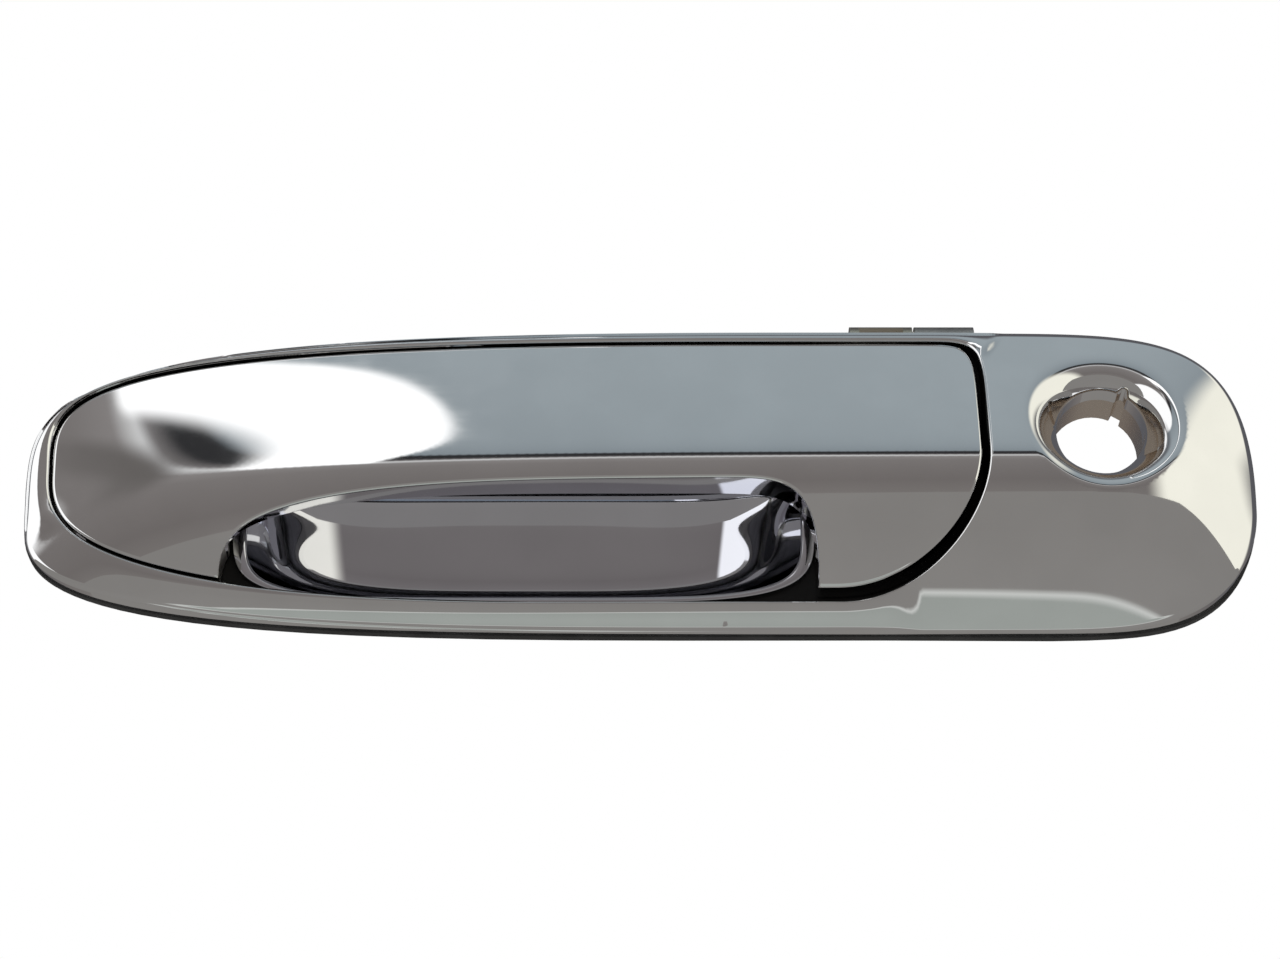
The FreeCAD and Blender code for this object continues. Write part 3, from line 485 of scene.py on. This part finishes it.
def bezel_height(x, z):
    """The plated face, with the narrow band round the bay crowned between its edges."""
    points = np.stack([x, z], 1)
    out, within = away(points, OUTER_EDGE), away(points, INNER_EDGE)
    width = out + within
    share = out / width
    fade = np.clip((9.0 - width) / 3.0, 0.0, 1.0)
    return plate_height(x, z) + BAND_CROWN * 4 * share * (1 - share) * fade * fade * (3 - 2 * fade)


bezel_plating = plated_skin("bezel_plating", bezel_height, [
    (bezel_outline(0.0, 0.7), 1, OUTER_PROUD, OUTER_ROLL, lambda x, z: np.full_like(x, BACK)),
    (bay_outline(0.0, 0.0, 0.7), -1, PLATE_SIDE, GAP_ROLL, lambda x, z: np.full_like(x, FLOOR)),
    (lock_mouth(0.4), -1, PLATE_SIDE, MOUTH_ROLL, lambda x, z: np.full_like(x, SLEEVE_PLATED))], (0.9, 0.75))


def chrome_finish(name, tint, haze):
    """Bright chrome plate: nearly a mirror, with faint polishing lines along the handle and a light haze."""
    material, place = start_material(name, metallic=1.0)
    cloud = speckle(place, 60.0, 4.0)
    lines = speckle(place, 900.0, 2.0, stretch=(0.03, 1.0, 1.0))
    colour = cloud.step(0.35, 0.7).mix(tuple(c * 0.96 for c in tint), tint)
    roughness = cloud.step(0.3, 0.8) * haze + lines * haze * 0.6 + 0.015
    return finish_material(material, place, colour, roughness, lines * 0.6 + cloud * 0.4, 0.02, 0.00002)


def gap_shade_chrome_finish():
    """Chrome with painted shade: a near-black, dull colour on the bay's walls, so the gap round the grip
    reads dark.
    """
    material, place = start_material("gap_shade_chrome", metallic=1.0)
    colour = speckle(place, 300.0).step(0.3, 0.7).mix((0.02, 0.02, 0.02), (0.04, 0.04, 0.04))
    return finish_material(material, place, colour, speckle(place, 700.0) * 0.2 + 0.45)


chrome = chrome_finish("bright_chrome", (0.93, 0.935, 0.94), 0.035)
bezel_plating.data.materials.append(chrome)
bezel_plating.data.materials.append(gap_shade_chrome_finish())
# The wall faces inside the bay take the chrome whose near-black colour is painted shade.
walls = [face for face in bezel_plating.data.polygons if abs(face.normal.y) < 0.05]
middles = np.array([(face.center.x / MM, face.center.z / MM) for face in walls])
for face, in_bay in zip(walls, inside(middles, bay_outline(-0.5, 0.0, 1.0))):
    face.material_index = int(in_bay)
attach(bezel_plating, "bezel")


# ---------------------------------------------------------------- Grip, plated front
# The grip is a hollow zinc shell with the same skin, cut away below for the fingers.
# Its chrome runs over every edge and down the walls of the notch.
GRIP_GAP, SWING_GAP, HEEL_GAP, GRIP_BACK, BLADE_BACK = 0.7, 1.1, 1.5, -5.6, -12.0
NOTCH_NOSE, NOTCH_TAIL, NOTCH_TOP = NOSE + 41.0, BAY_TAIL - 35.2, 27.6
HEEL_REACH = 5.0                    # the raised heel starts this far before the notch's end
SILL = FOOT + SILL_BAND
cup_low, cup_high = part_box("finger_cup")
CUP_X, CUP_Z = (cup_low.x + cup_high.x) / 2 / MM, (cup_low.z + cup_high.z) / 2 / MM
CUP_HALF_X, CUP_HALF_Z = (cup_high.x - cup_low.x) / 2 / MM, (cup_high.z - cup_low.z) / 2 / MM
CUP_POWER, CUP_ROOM = 4.6, 0.7      # how square the cup is, and the room round it where the grip's walls stop


def notch_outline(pitch):
    """The finger notch, a closed shape whose lower half lies outside the grip."""
    return outline(NOTCH_NOSE, NOTCH_TAIL, 2 * SILL - FOOT - NOTCH_TOP, FOOT + NOTCH_TOP, SILL,
                   [(30.0, 6.0, 3.0), (84.0, 3.0, 4.0), (84.0, 3.0, 4.0), (30.0, 6.0, 3.0)], pitch)


def grip_outline(pitch):
    """The bay's outline, inset and raised at the heel, with the finger notch cut out of its lower edge."""
    def heel(points):
        return (points[:, 0] > NOTCH_TAIL - HEEL_REACH) & (points[:, 1] < BAY_WAIST)

    whole, notch = bay_outline(GRIP_GAP, SWING_GAP, 0.05), notch_outline(0.05)
    raised = bay_outline(GRIP_GAP, SWING_GAP, 0.05, HEEL_GAP)
    whole = np.concatenate([whole[~heel(whole)], raised[heel(raised)]])
    outside, within = ~inside(whole, notch), inside(notch, whole)
    start = np.flatnonzero(outside & ~np.roll(outside, 1))[0]
    rim = np.roll(whole, -start, 0)[np.roll(outside, -start)]
    start = np.flatnonzero(within & ~np.roll(within, 1))[0]
    cut = np.roll(notch, -start, 0)[np.roll(within, -start)][::-1]
    runs = []
    for run in (rim, cut):
        along = np.concatenate([[0.0], np.cumsum(np.hypot(*np.diff(run, axis=0).T))])
        where = np.linspace(0.0, along[-1], int(along[-1] / pitch))
        runs.append(np.stack([np.interp(where, along, run[:, axis]) for axis in (0, 1)], 1))
    return np.concatenate([runs[0], runs[1][1:-1]])


HINGE_X, NOSE_DIP = NOSE + 12.5, 0.11   # the grip's nose dips this far per millimetre ahead of its hinge


def grip_wall_back(x, z):
    """How far back the grip's walls are plated: less at the nose, which dips as the grip swings out."""
    edge = GRIP_BACK - NOSE_DIP * np.maximum(0.0, HINGE_X - x)
    across = (np.abs(x - CUP_X) / (CUP_HALF_X + CUP_ROOM)) ** CUP_POWER
    up = (np.abs(z - CUP_Z) / (CUP_HALF_Z + CUP_ROOM)) ** CUP_POWER
    return np.where(across + up < 1, BLADE_BACK, edge)


grip_plating = plated_skin("grip_plating", plate_height, [
    (grip_outline(0.7), 1, PLATE_SIDE, GAP_ROLL, grip_wall_back)], (2.0, 0.8))
grip_plating.data.materials.append(chrome)
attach(grip_plating, "grip")


# ---------------------------------------------------------------- Finger cup
# The cup is a deep drawn bowl, chromed, that lines the hollow behind the grip's blade.
# Its flange lies on the bezel's floor, and its four pins hold it there.
CUP_WALL, CUP_DEPTH, CUP_LEAN = 1.2, 19.0, 0.2
CUP_MOUTH = FLOOR - CUP_WALL
CUP_PIN, CUP_PIN_END, PIN_CHAMFER, PIN_DROP = 1.0, BACK + 2.2, 0.3, 1.9
PIN_PLACES = (-32.0, -11.0, 11.0, 32.0)
END_FLANGE, FOOT_FLANGE, TOP_FLANGE, FLANGE_CHAMFER = 3.0, 1.6, 5.6, 0.25
MOUTH_HALF_X = CUP_HALF_X - END_FLANGE
MOUTH_LOW, MOUTH_HIGH = cup_low.z / MM + FOOT_FLANGE, cup_high.z / MM - TOP_FLANGE
MOUTH_Z, MOUTH_HALF_Z = (MOUTH_LOW + MOUTH_HIGH) / 2, (MOUTH_HIGH - MOUTH_LOW) / 2


def ring(half_x, middle_z, half_z, depth, count):
    """Points round a super-ellipse, at angles that are evenly spaced on the cup's flange."""
    dense = np.linspace(0.0, 2 * math.pi, 8001)
    shape = lambda turn, trig: np.sign(trig(turn)) * np.abs(trig(turn)) ** (2 / CUP_POWER)
    flange = np.stack([CUP_HALF_X * shape(dense, np.cos), CUP_HALF_Z * shape(dense, np.sin)], 1)
    along = np.concatenate([[0.0], np.cumsum(np.hypot(*np.diff(flange, axis=0).T))])
    turn = np.interp(np.linspace(0.0, along[-1], count, endpoint=False), along, dense)
    up = half_z * shape(turn, np.sin)
    return np.stack([CUP_X + half_x * shape(turn, np.cos), depth(up / MOUTH_HALF_Z), middle_z + up], 1)


def make_cup():
    """The bowl's front and back, rolled into its flange, with the four pins."""
    count, lip = 320, 0.8
    level = lambda y: (lambda up: np.full(count, y))
    bowl = lambda share, wall: (lambda up: CUP_MOUTH + wall + CUP_DEPTH * (1 - CUP_LEAN * up)
                                * (1 - share ** (CUP_POWER * 1.25)))
    rows = [ring(CUP_HALF_X, CUP_Z, CUP_HALF_Z, level(FLOOR), count),
            ring(CUP_HALF_X, CUP_Z, CUP_HALF_Z, level(CUP_MOUTH + FLANGE_CHAMFER), count),
            ring(CUP_HALF_X - FLANGE_CHAMFER, CUP_Z, CUP_HALF_Z - FLANGE_CHAMFER, level(CUP_MOUTH), count)]
    for turn in np.linspace(0.0, math.pi / 2, 8):
        out, drop = lip * (1 - math.sin(turn)), lip * (1 - math.cos(turn))
        rows.append(ring(MOUTH_HALF_X + out, MOUTH_Z, MOUTH_HALF_Z + out, level(CUP_MOUTH + drop), count))
    start = (1 - lip / CUP_DEPTH) ** (1 / (CUP_POWER * 1.25))
    for share in np.sin(np.linspace(math.pi / 2, 0.02, 80)):
        front_row = bowl(start * share, 0.0)
        rows.append(ring(MOUTH_HALF_X * share, MOUTH_Z, MOUTH_HALF_Z * share, front_row, count))
    front = len(rows)
    for share in np.sin(np.linspace(0.02, math.pi / 2, 40)):
        rows.append(ring((MOUTH_HALF_X + CUP_WALL) * share, MOUTH_Z, (MOUTH_HALF_Z + CUP_WALL) * share,
                         bowl(start * share, CUP_WALL), count))
    rows.append(ring(MOUTH_HALF_X + CUP_WALL, MOUTH_Z, MOUTH_HALF_Z + CUP_WALL, level(FLOOR), count))
    points = np.concatenate(rows)
    # The flange's lower corners follow the bay
    bay = bay_outline(0.2, 0.0, 0.2)
    lower = bay[bay[:, 1] < CUP_Z]
    lower = lower[np.argsort(lower[:, 0])]
    flange = points[:3 * count]
    flange[:, 2] = np.maximum(flange[:, 2], np.interp(flange[:, 0], *lower.T))
    faces = []
    for row in range(len(rows) - 1):
        for i in range(count if row != front - 1 else 0):
            a, b = row * count + i, row * count + (i + 1) % count
            faces.append((a, a + count, b + count, b))
    last = (len(rows) - 1) * count
    faces += [(last + i, i, (i + 1) % count, last + (i + 1) % count) for i in range(count)]
    faces.append(tuple((front - 1) * count + i for i in range(count))[::-1])
    faces.append(tuple(front * count + i for i in range(count)))
    for reach in PIN_PLACES:
        base, sides = len(points), 20
        turn = np.linspace(0.0, 2 * math.pi, sides, endpoint=False)
        for radius, y in ((CUP_PIN, FLOOR - 0.1), (CUP_PIN, CUP_PIN_END - PIN_CHAMFER),
                          (CUP_PIN - PIN_CHAMFER, CUP_PIN_END)):
            pin = np.stack([CUP_X + reach + radius * np.cos(turn), np.full(sides, y),
                            cup_high.z / MM - PIN_DROP + radius * np.sin(turn)], 1)
            points = np.concatenate([points, pin])
        for row in range(2):
            for i in range(sides):
                a, b = base + row * sides + i, base + row * sides + (i + 1) % sides
                faces.append((a, a + sides, b + sides, b))
        faces.append(tuple(base + i for i in range(sides)))
        faces.append(tuple(base + 2 * sides + i for i in range(sides))[::-1])
    return new_piece("cup_bowl", points, faces)


cup = make_cup()
cup.data.materials.append(chrome_finish("cup_chrome", (0.80, 0.81, 0.87), 0.03))
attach(cup, "bezel")
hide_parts("finger_cup")


# ---------------------------------------------------------------- The bodies behind the chrome
# These keep their exact shapes: castings, stamped levers, pins, bushes, screws and the gasket.
def dress(material, *names):
    """Gives nodes a material."""
    for name in names:
        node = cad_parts[name]
        node.data.materials.clear()
        node.data.materials.append(material)


def plain_metal(name, dark, light, low, high, grain, depth=0.15):
    """Bare or thinly plated metal: a cloudy tone between two colours, with a fine grain."""
    material, place = start_material(name, metallic=1.0)
    cloud, fine = speckle(place, grain * 0.12, 4.0), speckle(place, grain, 3.0)
    colour = cloud.step(0.3, 0.7).mix(dark, light)
    return finish_material(material, place, colour, fine * (high - low) + low, fine, depth, 0.00006)


def rubber(name, dark, light):
    """Rubber or nylon: a plain tone with a fine matt grain."""
    material, place = start_material(name)
    fine = speckle(place, 1500.0, 3.0)
    colour = speckle(place, 120.0).step(0.3, 0.7).mix(dark, light)
    return finish_material(material, place, colour, fine * 0.2 + 0.5, fine, 0.25, 0.00005)


def bezel_casting():
    """Cast zinc, with painted shade that turns it near black on the floor of the bay, and polished warm
    inside the lock sleeve.
    """
    material, place = start_material("bezel_zinc", metallic=1.0)
    cloud, fine = speckle(place, 110.0, 4.0), speckle(place, 900.0, 3.0)
    zinc = cloud.step(0.3, 0.7).mix((0.40, 0.39, 0.37), (0.55, 0.54, 0.51))
    across, up = place.part("X") - LOCK_X * MM, place.part("Z") - LOCK_Z * MM
    inner, outer = ((LOCK_BORE + past) ** 2 * MM * MM for past in (1.4, 1.6))
    sleeve = (across * across + up * up).step(outer, inner)
    # Painted shade: the casting's front, the floor seen in the gap round the grip, is coloured near black.
    front = place.part("Y").step(-4.5 * MM, -4.8 * MM)
    colour = sleeve.mix(front.mix(zinc, (0.03, 0.03, 0.03)), (0.80, 0.70, 0.60))
    roughness = fine * 0.2 + 0.30 - sleeve * 0.12 + front * 0.1
    return finish_material(material, place, colour, roughness, fine, 0.25, 0.00006)


dress(bezel_casting(), "bezel")
dress(plain_metal("cast_zinc", (0.40, 0.39, 0.37), (0.55, 0.54, 0.51), 0.30, 0.5, 900.0, 0.25),
      "grip_shell")
dress(plain_metal("cast_alloy", (0.33, 0.33, 0.34), (0.45, 0.45, 0.46), 0.40, 0.6, 900.0, 0.35),
      "grip_backer")
dress(plain_metal("plated_steel", (0.55, 0.52, 0.42), (0.68, 0.65, 0.55), 0.22, 0.38, 700.0),
      "pull_arm", "bellcrank")
dress(plain_metal("zinc_steel", (0.55, 0.56, 0.58), (0.68, 0.69, 0.72), 0.20, 0.36, 900.0), "cup_push_nuts",
      "hinge_pin", "hinge_pin_clip", "bellcrank_pin", "bellcrank_clip", "grip_screws", "pull_arm_screws",
      "stud_front", "stud_rear")
dress(plain_metal("spring_steel", (0.20, 0.20, 0.21), (0.30, 0.30, 0.31), 0.25, 0.4, 900.0),
      "bellcrank_spring")
dress(rubber("gasket_rubber", (0.012, 0.012, 0.012), (0.022, 0.022, 0.022)), "gasket")
dress(rubber("bumper_rubber", (0.02, 0.02, 0.02), (0.035, 0.035, 0.035)), "grip_bumpers")
dress(rubber("nylon_white", (0.74, 0.73, 0.68), (0.80, 0.79, 0.74)), "hinge_bush_lower", "hinge_bush_upper",
      "bellcrank_washer")
dress(rubber("nylon_dark", (0.04, 0.04, 0.045), (0.06, 0.06, 0.065)), "rod_clip")
